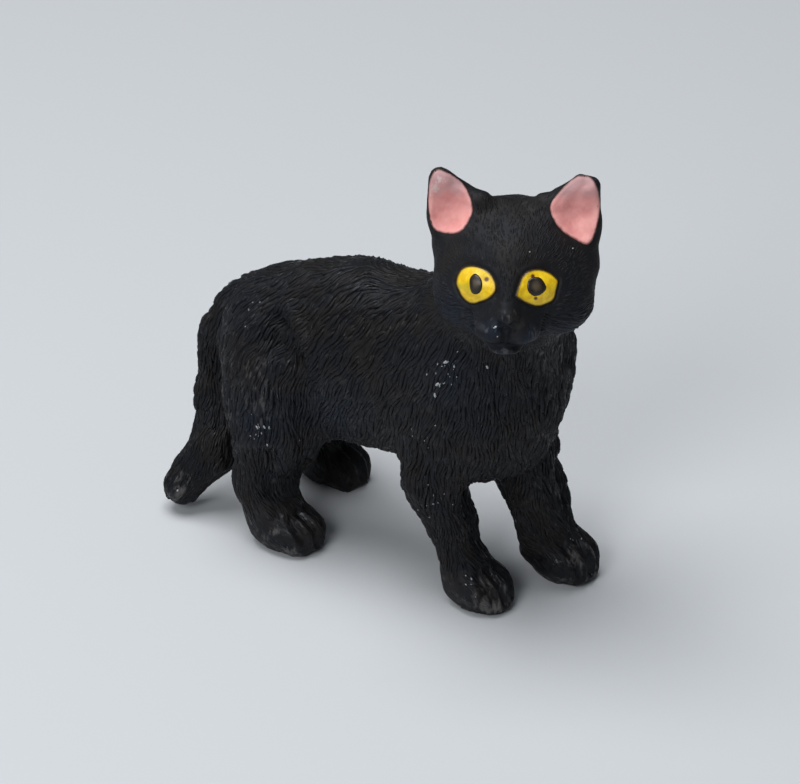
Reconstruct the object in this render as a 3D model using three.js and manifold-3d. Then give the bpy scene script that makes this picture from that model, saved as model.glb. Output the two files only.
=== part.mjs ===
// A small moulded toy kitten that stands with its head turned to its right.
// Millimetres, +X towards the chest, +Y to the kitten's left, +Z up, floor at Z = 0.
import * as THREE from "three";
import { mergeVertices } from "three/addons/utils/BufferGeometryUtils.js";
import Module from "manifold-3d";

const wasm = await Module();
wasm.setup();

// ---------- driving dimensions ----------
const CUT = 0.2; // gap that parts one named piece from the next
// edge of the grid cells that each kind of piece is meshed with
const FACET = { trunk: 2.25, neck: 2.0, leg: 1.52, tail: 1.4, paw: 0.98, head: 1.27, muzzle: 0.74, ear: 0.7 };
const SMOOTH = 0.16; // facets may stray this far from the true form
const SHIFT = [3.697, -0.314, 0]; // brings the middle of the whole outline over the origin

const FORE_PAW = { right: [8.25, -2.8], left: [12.1, 5.85] }; // where each paw's middle stands, X and Y
const HIND_PAW = { right: [-12.2, -5.1], left: [-15.9, 7.0] };
const TOE = { radius: 1.25, spread: 1.35, reach: 2.3, height: 1.0 };

const HEAD = { centre: [10.6, -1.5, 35.8], yaw: -58.5, pitch: -10, roll: -1 }; // turned by degrees
// the left eye and ear in the head's frame; the right ones mirror them
const EYE = { centre: [4.6, 2.3, 0.0], radii: [1.7, 2.35, 2.05], turn: 16 };
const EAR = { root: [-0.1, 5.1, 4.9], radii: [2.0, 2.7, 3.4], tip: [0.1, 6.6, 8.2], lean: 14, reach: 8 };

// ---------- fields: signed distance to a shape, below zero inside ----------
const vec = (p) => new THREE.Vector3(...p);
const rad = THREE.MathUtils.degToRad;

function ball(centre, radii, turn = [0, 0, 0]) {
  const spin = new THREE.Quaternion().setFromEuler(new THREE.Euler(...turn.map(rad), "ZYX"));
  const toLocal = new THREE.Matrix4().compose(vec(centre), spin, vec([1, 1, 1])).invert();
  const p = new THREE.Vector3();
  const [rx, ry, rz] = radii;
  return (point) => {
    p.copy(point).applyMatrix4(toLocal);
    const near = Math.hypot(p.x / rx, p.y / ry, p.z / rz);
    const slope = Math.hypot(p.x / rx ** 2, p.y / ry ** 2, p.z / rz ** 2);
    return slope > 1e-9 ? (near * (near - 1)) / slope : -Math.min(rx, ry, rz);
  };
}

function rod(from, to, startRadius, endRadius) {
  const a = vec(from);
  const along = vec(to).sub(a);
  const p = new THREE.Vector3();
  return (point) => {
    p.copy(point).sub(a);
    const t = THREE.MathUtils.clamp(p.dot(along) / along.lengthSq(), 0, 1);
    return p.addScaledVector(along, -t).length() - THREE.MathUtils.lerp(startRadius, endRadius, t);
  };
}

function blend(softness, ...fields) {
  return (point) =>
    fields.reduce((sum, field) => {
      const d = field(point);
      const near = Math.max(softness - Math.abs(sum - d), 0) / softness;
      return Math.min(sum, d) - (near * near * softness) / 4;
    }, 1e3);
}

function hollow(softness, field, dish) {
  const outside = blend(softness, (p) => -field(p), dish);
  return (point) => -outside(point);
}

function placed(field, matrix) {
  const inverse = matrix.clone().invert();
  const p = new THREE.Vector3();
  return (point) => field(p.copy(point).applyMatrix4(inverse).clone());
}

// ---------- the body ----------
function chain(points, radii, softness) {
  const rods = points.slice(1).map((p, i) => rod(points[i], p, radii[i], radii[i + 1]));
  return blend(softness, ...rods);
}

const trunkField = blend(
  4,
  ball([-14.9, 0, 18.3], [7.4, 6.8, 8.2], [0, -12, 0]), // rump
  ball([-6.2, 0, 20.9], [10, 6.8, 9.6], [0, -5, 0]), // loins and belly
  ball([3.5, 0, 21.6], [8, 6.8, 9.4]), // ribs
  ball([8.8, 0.8, 20.8], [4.8, 6.2, 8.2]), // chest
);
const neckField = blend(
  2,
  rod([6.0, 0.2, 26.2], [9.6, -0.2, 32], 6.8, 5.8),
  ball([9.1, 3.0, 25.7], [4.6, 4.7, 7.0]), // ruff
);

const sideOf = (side) => (side === "left" ? 1 : -1);

// Three small balls in a row make the toes at the front of a paw.
function toes(x, y, height) {
  const toe = (i) => ball([x - Math.abs(i) * 0.5, y + i * TOE.spread, height], [1.5, 0.95, TOE.radius]);
  return [-1, 0, 1].map(toe);
}

function foreleg(side) {
  const [x, y] = FORE_PAW[side];
  const s = sideOf(side);
  const bulk = side === "left" ? 0.5 : 0; // this leg is cast a little thicker
  return blend(
    1.2,
    ball([5.2, s * 4.2, 18], [4.0, 2.8, 7], [0, 10, 0]),
    chain(
      [[x - 4.4, s * 4.6 - bulk / 2, 13], [x - 2.9, y - bulk / 2, 8], [x - 1.2, y, 2.8]],
      [3.0 + bulk, 2.5 + bulk, 2.2 + bulk / 2],
      1,
    ),
    ball([x + 0.4, y, 2.0 + bulk / 2], [2.9, 3.1 + bulk / 3, 2.4 + bulk / 2]),
    ball([x - 1, y, 2.4], [2.6, 2.5, 2.6]),
  );
}

function hindleg(side) {
  const [x, y] = HIND_PAW[side];
  const s = sideOf(side);
  return blend(
    1.8,
    ball([-13.8, s * 4.8, 15.8], [5.6, 3.6, 8.6], [0, 6, 0]), // thigh
    chain([[-13.6, s * 5, 10.5], [x - 2.8, y, 6.2], [x - 1.6, y, 2.6]], [3.8, 2.7, 2.3], 2),
    ball([x + 0.8, y, 2.0], [3.1, 2.9, 2.3]),
    ball([x - 1.4, y, 2.2], [2.8, 2.3, 2.3]),
  );
}

const tailField = chain(
  [[-19.6, 0, 22.2], [-22.5, -0.6, 17.5], [-23.0, -1.6, 11.5], [-22.0, -3.4, 6.9], [-24.2, -6.2, 2.55]],
  [2.5, 2.2, 2.15, 2.8, 2.05],
  1.5,
);

const limbFields = ["left", "right"].flatMap((side) => {
  const [fx, fy] = FORE_PAW[side];
  const [hx, hy] = HIND_PAW[side];
  return [
    blend(0.4, foreleg(side), ...toes(fx + TOE.reach, fy, TOE.height)),
    blend(0.4, hindleg(side), ...toes(hx + TOE.reach + 0.5, hy, TOE.height)),
  ];
});
const bodyField = blend(1.2, blend(3, trunkField, neckField), ...limbFields, tailField);

// ---------- the head, in its own frame: +X out of the face ----------
const headMatrix = new THREE.Matrix4().compose(
  vec(HEAD.centre),
  new THREE.Quaternion().setFromEuler(new THREE.Euler(rad(HEAD.roll), rad(HEAD.pitch), rad(HEAD.yaw), "ZYX")),
  vec([1, 1, 1]),
);
const both = (make) => [make(1), make(-1)];
const mirrored = ([x, y, z], s) => [x, s * y, z];

const skullField = blend(
  2,
  ball([-0.8, 0.2, 0.9], [6.4, 7.4, 5.7]), // cranium
  ...both((s) => ball([1.6, 0.3 + s * 3.7, -1.6], [4.0, 3.8, 3.5])), // cheeks
  ball([4.9, 0, -2.9], [2.6, 3.2, 2.2]), // muzzle
  rod([4.2, 0, 1.6], [6.9, 0, -1.3], 2.0, 1.1), // bridge of the nose
);
const faceField = blend(
  0.5,
  skullField,
  ...both((s) => ball([6.2, s * 1.35, -3.3], [1.6, 1.6, 1.4])), // whisker pads
  ball([5.9, 0, -4.9], [1.5, 1.6, 1.0]), // chin
  ball([7.3, 0, -1.8], [0.9, 0.95, 0.75]), // nose
);
const earField = (s) =>
  hollow(
    0.5,
    blend(
      1,
      ball(mirrored(EAR.root, s), EAR.radii, [-s * EAR.lean, 0, 0]),
      rod(mirrored(EAR.root, s), mirrored(EAR.tip, s), 2.0, 1.15),
    ),
    ball([2.0, s * 5.6, 5.3], [1.6, 2.1, 3.2], [-s * 8, 0, 0]), // dish
  );
const headField = blend(1.4, faceField, earField(1), earField(-1));
const wholeField = blend(0.8, bodyField, placed(headField, headMatrix));

// ---------- surface nets: one vertex in each grid cell that the surface crosses ----------
function skinOf(field, low, high, step) {
  const [nx, ny, nz] = low.map((l, i) => Math.ceil((high[i] - l) / step) + 1);
  const index = (i, j, k) => i + nx * (j + ny * k);
  const at = (i, j, k) => new THREE.Vector3(low[0] + i * step, low[1] + j * step, low[2] + k * step);
  const value = new Float32Array(nx * ny * nz);
  for (let k = 0; k < nz; k++)
    for (let j = 0; j < ny; j++)
      for (let i = 0; i < nx; i++) {
        const edge = Math.min(i, j, k) < 2 || i === nx - 1 || j === ny - 1 || k === nz - 1;
        value[index(i, j, k)] = edge ? step : field(at(i, j, k));
      }
  const corners = [0, 1, 2, 3, 4, 5, 6, 7].map((c) => [c & 1, (c >> 1) & 1, c >> 2]);
  const edges = [];
  for (let a = 0; a < 8; a++)
    for (const bit of [1, 2, 4]) if (!(a & bit)) edges.push([a, a | bit]);
  const vertexOf = new Map();
  const positions = [];
  for (let k = 0; k < nz - 1; k++)
    for (let j = 0; j < ny - 1; j++)
      for (let i = 0; i < nx - 1; i++) {
        const f = corners.map(([a, b, c]) => value[index(i + a, j + b, k + c)]);
        const sum = new THREE.Vector3();
        let crossed = 0;
        for (const [a, b] of edges)
          if (f[a] < 0 !== f[b] < 0) {
            const t = f[a] / (f[a] - f[b]);
            const pa = at(i + corners[a][0], j + corners[a][1], k + corners[a][2]);
            const pb = at(i + corners[b][0], j + corners[b][1], k + corners[b][2]);
            sum.add(pa.lerp(pb, t));
            crossed++;
          }
        if (crossed) {
          vertexOf.set(index(i, j, k), positions.length / 3);
          positions.push(...onto(field, sum.divideScalar(crossed), step));
        }
      }
  const triangles = [];
  const axes = [[1, 0, 0], [0, 1, 0], [0, 0, 1]];
  for (let k = 1; k < nz - 1; k++)
    for (let j = 1; j < ny - 1; j++)
      for (let i = 1; i < nx - 1; i++)
        axes.forEach(([a, b, c], axis) => {
          const inside = value[index(i, j, k)] < 0;
          if (inside === value[index(i + a, j + b, k + c)] < 0) return;
          const [u, v] = [axes[(axis + 1) % 3], axes[(axis + 2) % 3]];
          const cell = (p, q) =>
            vertexOf.get(index(i - p * u[0] - q * v[0], j - p * u[1] - q * v[1], k - p * u[2] - q * v[2]));
          const ring = [cell(0, 0), cell(1, 0), cell(1, 1), cell(0, 1)];
          if (!inside) ring.reverse();
          triangles.push(ring[0], ring[1], ring[2], ring[0], ring[2], ring[3]);
        });
  const geometry = new THREE.BufferGeometry();
  geometry.setAttribute("position", new THREE.Float32BufferAttribute(positions, 3));
  geometry.setIndex(triangles);
  return geometry;
}

// Slides a point onto the surface along the field's slope.
function onto(field, point, step) {
  const h = 0.01;
  for (let round = 0; round < 2; round++) {
    const d = field(point);
    if (Math.abs(d) > step) break; // a cap at the grid's edge
    const slope = new THREE.Vector3(
      field(point.clone().add(vec([h, 0, 0]))) - d,
      field(point.clone().add(vec([0, h, 0]))) - d,
      field(point.clone().add(vec([0, 0, h]))) - d,
    ).divideScalar(h);
    const move = THREE.MathUtils.clamp(d / Math.max(slope.lengthSq(), 0.2), -step / 3, step / 3);
    point.addScaledVector(slope, -move);
  }
  return point.toArray();
}

// ---------- solids ----------
function solid(geometry) {
  const plain = new THREE.BufferGeometry();
  plain.setAttribute("position", geometry.getAttribute("position"));
  plain.setIndex(geometry.index);
  const merged = mergeVertices(plain, 1e-4);
  const triVerts = new Uint32Array(merged.index.array);
  const vertProperties = merged.attributes.position.array;
  return new wasm.Manifold(new wasm.Mesh({ numProp: 3, vertProperties, triVerts }));
}

function geometryOf(manifold) {
  const mesh = manifold.getMesh();
  const geometry = new THREE.BufferGeometry();
  geometry.setAttribute("position", new THREE.BufferAttribute(mesh.vertProperties, 3));
  geometry.setIndex(new THREE.BufferAttribute(mesh.triVerts, 1));
  geometry.computeVertexNormals();
  return geometry;
}

// ---------- zones: the space that each named piece takes up, grown by a gap for its neighbours ----------
function egg(centre, radii, turn = [0, 0, 0], around = 16) {
  return (gap) => {
    const geometry = new THREE.SphereGeometry(1, around, around / 2);
    geometry.scale(...radii.map((r) => r + gap));
    geometry.applyQuaternion(new THREE.Quaternion().setFromEuler(new THREE.Euler(...turn.map(rad), "ZYX")));
    return solid(geometry.translate(...centre));
  };
}

function block(centre, size, turn = [0, 0, 0]) {
  return (gap) => {
    const geometry = new THREE.BoxGeometry(...size.map((d) => d + 2 * gap));
    geometry.applyQuaternion(new THREE.Quaternion().setFromEuler(new THREE.Euler(...turn.map(rad), "ZYX")));
    return solid(geometry.translate(...centre));
  };
}

const inHead = (zone) => (gap) => zone(gap).transform(headMatrix.elements);
const joined = (...zones) => (gap) => zones.map((zone) => zone(gap)).reduce((a, b) => a.add(b));

const zones = {
  head: block([6, -1, 41.3], [44, 44, 22], [0, 9, 0]), // everything above the collar
  neck: block([10, 0, 33], [30, 40, 16], [0, 32, 0]),
  tail: joined(egg([-23.5, -0.5, 17], [4.2, 3.4, 9]), block([-25, -4, 5], [10.6, 9.2, 18])),
  muzzle: inHead(block([8.4, 0, -3.4], [6.0, 7.2, 5.6])),
};
for (const side of ["left", "right"]) {
  const s = sideOf(side);
  const [fx, fy] = FORE_PAW[side];
  const [hx, hy] = HIND_PAW[side];
  zones[`foreleg_${side}`] = joined(
    egg([5.4, s * 8, 17.5], [4.8, 5.4, 8.5], [0, 10, 0]),
    block([fx - 1.5, 1.2 + s * 6.1, 3], [18, 12, 17.6]),
  );
  zones[`hindleg_${side}`] = joined(
    egg([-13.8, s * 8, 15.5], [6.6, 5.6, 9.4], [0, 6, 0]),
    block([hx + 1, s * 8, 2], [16, 14, 18]),
  );
  zones[`forepaw_${side}`] = block([fx, fy, 0], [12, 9, 7.4], [0, -14, 0]);
  zones[`hindpaw_${side}`] = block([hx, hy, 0], [12, 9, 7.0], [0, -14, 0]);
  zones[`ear_${side}`] = inHead(block([0, s * 7.35, 7.9], [10, 12, 8], [-s * 36, 0, 0]));
  zones[`eye_${side}`] = inHead(egg(mirrored(EYE.centre, s), EYE.radii, [0, 0, s * EYE.turn], 20));
}

// ---------- pieces: a piece is its own zone less the zones of the pieces that grow from it ----------
const black = { color: 0x1a1a1c, roughness: 0.5 };
const yellow = { color: 0xe8c800, roughness: 0.35 };
const group = new THREE.Group();
const floor = block([0, 0, -10], [120, 120, 20])(0);

function add(name, shape, look) {
  const mesh = new THREE.Mesh(geometryOf(shape.translate(SHIFT)), new THREE.MeshStandardMaterial(look));
  mesh.name = name;
  group.add(mesh);
}

function piece(name, facet, low, high, without = []) {
  let shape = solid(skinOf(wholeField, low, high, facet));
  if (zones[name]) shape = shape.intersect(zones[name](0));
  for (const other of without) shape = shape.subtract(zones[other](CUT));
  const crumbs = shape.subtract(floor).simplify(SMOOTH).decompose();
  add(name, crumbs.sort((a, b) => b.volume() - a.volume())[0], black);
}

const perSide = (name) => [`${name}_right`, `${name}_left`];
const limbs = [...perSide("foreleg"), ...perSide("hindleg")];
piece("trunk", FACET.trunk, [-31, -14, 5], [24, 14, 36], ["neck", "head", "tail", ...limbs]);
piece("neck", FACET.neck, [-9, -14, 15], [24, 14, 36], ["head", ...perSide("foreleg")]);
piece("tail", FACET.tail, [-30, -12, -3], [-16, 8, 29], limbs);
piece("head", FACET.head, [-3, -16, 24], [26, 14, 50], ["muzzle", ...perSide("ear"), ...perSide("eye")]);
piece("muzzle", FACET.muzzle, [7, -15, 24], [22, 0, 40], perSide("eye"));
for (const side of ["right", "left"]) {
  const s = sideOf(side);
  const [fx, fy] = FORE_PAW[side];
  const [hx, hy] = HIND_PAW[side];
  const span = (near, far) => [Math.min(s * near, s * far), Math.max(s * near, s * far)];
  const [lowY, highY] = span(-3, 15);
  piece(`foreleg_${side}`, FACET.leg, [-3, lowY, -3], [18, highY, 29], [`forepaw_${side}`]);
  piece(`hindleg_${side}`, FACET.leg, [-25, lowY, -3], [-3, highY, 28], [`hindpaw_${side}`]);
  piece(`forepaw_${side}`, FACET.paw, [fx - 8, fy - 6, -3], [fx + 8, fy + 6, 8]);
  piece(`hindpaw_${side}`, FACET.paw, [hx - 8, hy - 6, -3], [hx + 8, hy + 6, 8]);
  const ear = vec([0, s * 6, 7]).applyMatrix4(headMatrix);
  const [earLow, earHigh] = [-EAR.reach, EAR.reach].map((d) => ear.clone().addScalar(d).toArray());
  piece(`ear_${side}`, FACET.ear, earLow, earHigh);
  add(`eye_${side}`, zones[`eye_${side}`](0), yellow);
}

export default group;
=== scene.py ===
# %% [markdown]
# # A small moulded toy kitten
# The real thing is one solid casting of soft plastic, 45 mm tall. The fur is a pattern of short strokes
# carved in the mould, and a brush put the paint on: satin black all over, yellow eyes, pink ears. So the
# model has three layers. One skin gives the form, thousands of low raised strokes give the carved fur, and
# thin spots of paint lie on top. Blender works in metres, but sizes below are in millimetres, and MM turns
# them to metres.

# %% Load the fixed solids
import math

import bmesh
import bpy
import numpy as np
from mathutils import Euler, Matrix, Quaternion, Vector
from mathutils.bvhtree import BVHTree
from mathutils.interpolate import poly_3d_calc


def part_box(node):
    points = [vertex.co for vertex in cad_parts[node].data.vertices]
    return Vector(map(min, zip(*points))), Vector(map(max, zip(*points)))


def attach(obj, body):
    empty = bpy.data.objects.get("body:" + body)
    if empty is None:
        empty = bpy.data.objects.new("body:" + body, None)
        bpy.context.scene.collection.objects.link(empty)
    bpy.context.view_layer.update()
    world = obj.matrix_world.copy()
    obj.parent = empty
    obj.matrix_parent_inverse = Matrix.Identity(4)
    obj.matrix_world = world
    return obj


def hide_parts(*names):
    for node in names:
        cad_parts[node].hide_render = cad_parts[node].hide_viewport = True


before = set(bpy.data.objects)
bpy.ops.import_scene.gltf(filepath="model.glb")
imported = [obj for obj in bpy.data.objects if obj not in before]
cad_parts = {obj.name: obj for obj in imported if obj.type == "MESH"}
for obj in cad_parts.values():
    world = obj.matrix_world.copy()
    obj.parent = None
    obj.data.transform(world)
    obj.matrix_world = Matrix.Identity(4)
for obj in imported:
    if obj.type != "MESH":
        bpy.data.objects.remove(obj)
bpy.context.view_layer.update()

MM = 0.001
print("solids:", sorted(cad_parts))

# %% [markdown]
# ## Camera
# A toy this small is shot from close by with a long lens, so lines hardly converge. The camera looks down
# at 31 degrees from the kitten's front right. Its lens follows from the distance and from how many
# millimetres one pixel covers at the toy.

# %% Camera
IMAGE_WIDTH = 800
MM_PER_PIXEL = 0.0925
CAMERA_AIM = Vector((2.297, -2.214, 19.0)) * MM
CAMERA_AROUND = math.radians(36)
CAMERA_ABOVE = math.radians(31)
CAMERA_DISTANCE = 450 * MM
SENSOR = 36  # mm wide


def direction(around, above):
    """Unit vector from the toy towards a place around it and above the floor."""
    flat = math.cos(above)
    return Vector((math.sin(around) * flat, -math.cos(around) * flat, math.sin(above)))


def add_object(name, data):
    """A new object in the scene, at the origin."""
    new = bpy.data.objects.new(name, data)
    bpy.context.scene.collection.objects.link(new)
    return new


camera_data = bpy.data.cameras.new("camera")
camera_data.sensor_width = SENSOR
camera_data.lens = camera_data.sensor_width * CAMERA_DISTANCE / (MM_PER_PIXEL * MM * IMAGE_WIDTH)
camera_data.clip_start = 10 * MM
camera = add_object("camera", camera_data)
bpy.context.scene.camera = camera
camera.location = CAMERA_AIM + direction(CAMERA_AROUND, CAMERA_ABOVE) * CAMERA_DISTANCE
camera.rotation_euler = direction(CAMERA_AROUND, CAMERA_ABOVE).to_track_quat("Z", "Y").to_euler()
print("lens in mm:", round(camera_data.lens, 1))

# %% [markdown]
# ## Floor and light
# Black paint shows its form only by what it reflects, and small lamps would give it hard white dots. So one
# wide soft panel hangs overhead, a smaller one stands in front to bring out the eyes and the ears, and a
# weak one at the left keeps that side from going flat. The floor is matt paper.

# %% Small helpers for materials


def linear(hex_colour):
    """An sRGB hex colour as linear red, green, blue and alpha."""
    parts = [int(hex_colour[i : i + 2], 16) / 255 for i in (1, 3, 5)]
    return [c / 12.92 if c <= 0.04045 else ((c + 0.055) / 1.055) ** 2.4 for c in parts] + [1.0]


def add_node(tree, kind, inputs=None, out=0, **settings):
    """Adds a node and gives one of its outputs.

    The settings are the node's own. An input is a number, a vector, a hex colour or another node's output.
    """
    node = tree.nodes.new("ShaderNode" + kind)
    for key, setting in settings.items():
        setattr(node, key, setting)
    for socket, value in (inputs or {}).items():
        if isinstance(value, bpy.types.NodeSocket):
            tree.links.new(value, node.inputs[socket])
        else:
            node.inputs[socket].default_value = linear(value) if isinstance(value, str) else value
    return node.outputs[out]


def new_material(name, **values):
    """A material with one Principled shader, whose constant values are given with _ for spaces."""
    material = bpy.data.materials.new(name)
    material.use_nodes = True
    shader = material.node_tree.nodes["Principled BSDF"]
    for key, value in values.items():
        shader.inputs[key.replace("_", " ")].default_value = value
    return material, material.node_tree, shader


paper, _, _ = new_material("matt_paper", Base_Color=linear("#C6CACE"), Roughness=0.9)
print("first material:", paper.name)

# %% Floor
FLOOR_HALF = 1500 * MM


def mesh_of(bm, name):
    """The mesh of a finished bmesh, which is freed."""
    mesh = bpy.data.meshes.new(name)
    bm.to_mesh(mesh)
    bm.free()
    return mesh


bm = bmesh.new()
bmesh.ops.create_grid(bm, x_segments=1, y_segments=1, size=FLOOR_HALF)
floor = add_object("floor", mesh_of(bm, "floor"))
floor.data.materials.append(paper)
print("floor in m:", tuple(floor.dimensions))

# %% Lights and world
LIGHTS = {  # name: degrees around and above, mm away, mm wide, watts
    "top": (-60, 80, 420, 300, 1.75),
    "front": (10, 36, 480, 170, 0.8),
    "left": (-80, 28, 520, 240, 0.2),
}
SKY_STRENGTH = 0.16

for name, (around, above, distance, width, watts) in LIGHTS.items():
    light = bpy.data.lights.new(name, "AREA")
    light.size = width * MM
    light.energy = watts
    lamp = add_object(name, light)
    towards = direction(math.radians(around), math.radians(above))
    lamp.location = CAMERA_AIM + towards * distance * MM
    lamp.rotation_euler = towards.to_track_quat("Z", "Y").to_euler()

world = bpy.data.worlds.new("studio")
bpy.context.scene.world = world
world.use_nodes = True
world.node_tree.nodes["Background"].inputs["Color"].default_value = linear("#DCE3EA")
world.node_tree.nodes["Background"].inputs["Strength"].default_value = SKY_STRENGTH
bpy.context.scene.view_settings.view_transform = "Standard"  # paint colours come out as their hex values say
print("lights:", list(LIGHTS))

# %% [markdown]
# ## One skin
# The solids are parted by thin cuts, but the casting has no seam. Each solid is copied, its loose triangles
# are merged, and it is swollen a little so that the cuts close. A voxel remesh then turns them all into one
# closed surface of even small faces, and smoothing takes the flat facets away.

# %% Join the solids
SWELL = 0.14  # mm, more than half the width of the cuts
SAME_POINT = 0.001  # mm between points that are one point

bm = bmesh.new()
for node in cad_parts.values():
    bm.from_mesh(node.data)
bmesh.ops.remove_doubles(bm, verts=bm.verts, dist=SAME_POINT * MM)
bm.normal_update()
for vert in bm.verts:
    vert.co += vert.normal * SWELL * MM
skin = add_object("skin", mesh_of(bm, "skin"))
print("faces of the joined solids:", len(skin.data.polygons))

# %% Remesh them to one surface
VOXEL = 0.17  # mm, fine enough for a nostril


def settle(piece):
    """Applies all the modifiers of a piece to its mesh."""
    shape = piece.evaluated_get(bpy.context.evaluated_depsgraph_get())
    mesh = bpy.data.meshes.new_from_object(shape)
    old = piece.data
    piece.modifiers.clear()
    piece.data = mesh
    bpy.data.meshes.remove(old)


remesh = skin.modifiers.new("one surface", "REMESH")
remesh.mode = "VOXEL"
remesh.voxel_size = VOXEL * MM
settle(skin)
print("skin faces after the remesh:", len(skin.data.polygons))

# %% [markdown]
# ## Places on the kitten
# The head has its own frame: x points out of the face, y to the kitten's left, z to the crown. Masks run
# from 0 to 1 and say how much a point belongs to the head, a paw or an ear. They steer the smoothing, the
# depth of the coat and the size of its strokes. A mask is a formula of place, so the skin and the fur can
# share it.

# %% The head's own frame
HEAD_CENTRE = np.array((14.297, -1.814, 35.8))  # mm
HEAD_TURN = [math.radians(a) for a in (-1, -10, -58.5)]  # roll, pitch, yaw
HEAD_AXES = np.array(Euler(HEAD_TURN, "XYZ").to_matrix())


def to_head(points):
    """Points of the body's frame in the head's frame."""
    return (np.asarray(points) - HEAD_CENTRE) @ HEAD_AXES


def from_head(points):
    """Points of the head's frame in the body's frame."""
    return np.asarray(points) @ HEAD_AXES.T + HEAD_CENTRE


print("the face looks along", HEAD_AXES[:, 0].round(2))

# %% Masks


def ramp(x, low, high):
    """0 below low, 1 above high, smooth between."""
    t = np.clip((x - low) / (high - low), 0, 1)
    return t * t * (3 - 2 * t)


def head_mask(points):
    """1 on the head, 0 below the collar."""
    return ramp(points[:, 2] + 0.16 * points[:, 0], 31.2, 33.2)


def ear_mask(points):
    """1 on the ears."""
    p = to_head(points)
    return ramp(p[:, 2] + 0.72 * np.abs(p[:, 1]), 7.9, 8.9)


def tail_mask(points):
    """1 on the tail."""
    return 1 - ramp(points[:, 0] + 0.12 * points[:, 2], -16.4, -15.4)


def paw_mask(points):
    """1 on the four paws, but not on the tail's tip."""
    return (1 - ramp(points[:, 2], 2.6, 4.4)) * (1 - tail_mask(points))


def trunk_mask(points):
    """1 on the trunk and the neck, above the legs."""
    return ramp(points[:, 2], 12, 16) * (1 - head_mask(points)) * (1 - tail_mask(points))


def read(things, what, per, kind=float):
    """A property of all the points, corners or faces of a mesh, with so many numbers for each."""
    flat = np.empty(len(things) * per, kind)
    things.foreach_get(what, flat)
    return flat.reshape(-1, per)


def points_of(mesh):
    """The points of a mesh in millimetres, one row each."""
    return read(mesh.vertices, "co", 3) / MM


skin_points = points_of(skin.data)
print("share of the skin on the head:", round(float(head_mask(skin_points).mean()), 3))

# %% Smooth the facets away
SMOOTH_PASSES = {"trunk": 120, "body": 45, "head": 24, "ears": 8, "paws": 10}


def smooth_skin(passes, mask):
    """Relaxes the skin where the mask is 1."""
    group = skin.vertex_groups.new(name="smooth")
    strong = np.round(mask, 1)
    for weight in np.unique(strong):
        if weight > 0:
            group.add(np.nonzero(strong == weight)[0].tolist(), float(weight), "REPLACE")
    relax = skin.modifiers.new("relax", "SMOOTH")
    relax.factor = 0.5
    relax.iterations = passes
    relax.vertex_group = "smooth"
    settle(skin)
    skin.vertex_groups.clear()


head_share, ear_share, paw_share = (mask(skin_points) for mask in (head_mask, ear_mask, paw_mask))
smooth_skin(SMOOTH_PASSES["trunk"], trunk_mask(skin_points))
smooth_skin(SMOOTH_PASSES["body"], (1 - head_share) * (1 - paw_share))
smooth_skin(SMOOTH_PASSES["head"], head_share * (1 - ear_share))
smooth_skin(SMOOTH_PASSES["ears"], ear_share)
smooth_skin(SMOOTH_PASSES["paws"], paw_share)
print("smoothed:", ", ".join(SMOOTH_PASSES))

# %% Make room for the coat
COAT_DEPTH = 0.15  # mm that the skin lies under the tips of the carved strokes
HEAD_THINNER = 0.75  # share by which the coat is thinner on the head
PAWS_THINNER = 0.8  # and on the paws; the ears have none


def normals_of(mesh):
    """The direction that the surface faces at each point."""
    return read(mesh.vertex_normals, "vector", 3)


def move_points(mesh, points):
    """Puts the points of a mesh at new places, given in millimetres."""
    mesh.vertices.foreach_set("co", (points * MM).ravel())
    mesh.update()


skin_points = points_of(skin.data)
coat = COAT_DEPTH * (1 - HEAD_THINNER * head_share) * (1 - PAWS_THINNER * paw_share) * (1 - ear_share)
skin_points -= normals_of(skin.data) * (SWELL + coat)[:, None]
move_points(skin.data, skin_points)
print("points on the skin:", len(skin_points), "mean depth of the coat in mm:", round(float(coat.mean()), 3))

# %% [markdown]
# ## Carve the face, the body and the toes
# The mould's carver cut the features with a few tools, and this does the same. A stroke is a path on the
# skin with a width and a height, and it raises a soft ridge or presses a soft groove. Sculpting by hand
# would look the same, but a stroke in code can be read and changed.

# %% Lay a path on the skin
STEP = 0.15  # mm between the points of a path


def skin_tree():
    """A search tree of the skin as it is now."""
    return BVHTree.FromObject(skin, bpy.context.evaluated_depsgraph_get())


def walk(path):
    """The points of a path, with more between them at an even step."""
    path = np.asarray(path, float)
    parts = []
    for a, b in zip(path[:-1], path[1:]):
        count = max(1, round(float(np.linalg.norm(b - a)) / STEP))
        parts.append(a + (b - a) * (np.arange(count) / count)[:, None])
    return np.vstack(parts + [path[-1:]])


def on_skin(path, tree):
    """A path through places near the skin, laid on the skin."""
    return np.array([np.array(tree.find_nearest(Vector(p) * MM)[0]) / MM for p in walk(path)])


print("points in 3 mm of path:", len(walk([(0, 0, 0), (0, 0, 3)])))

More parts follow.
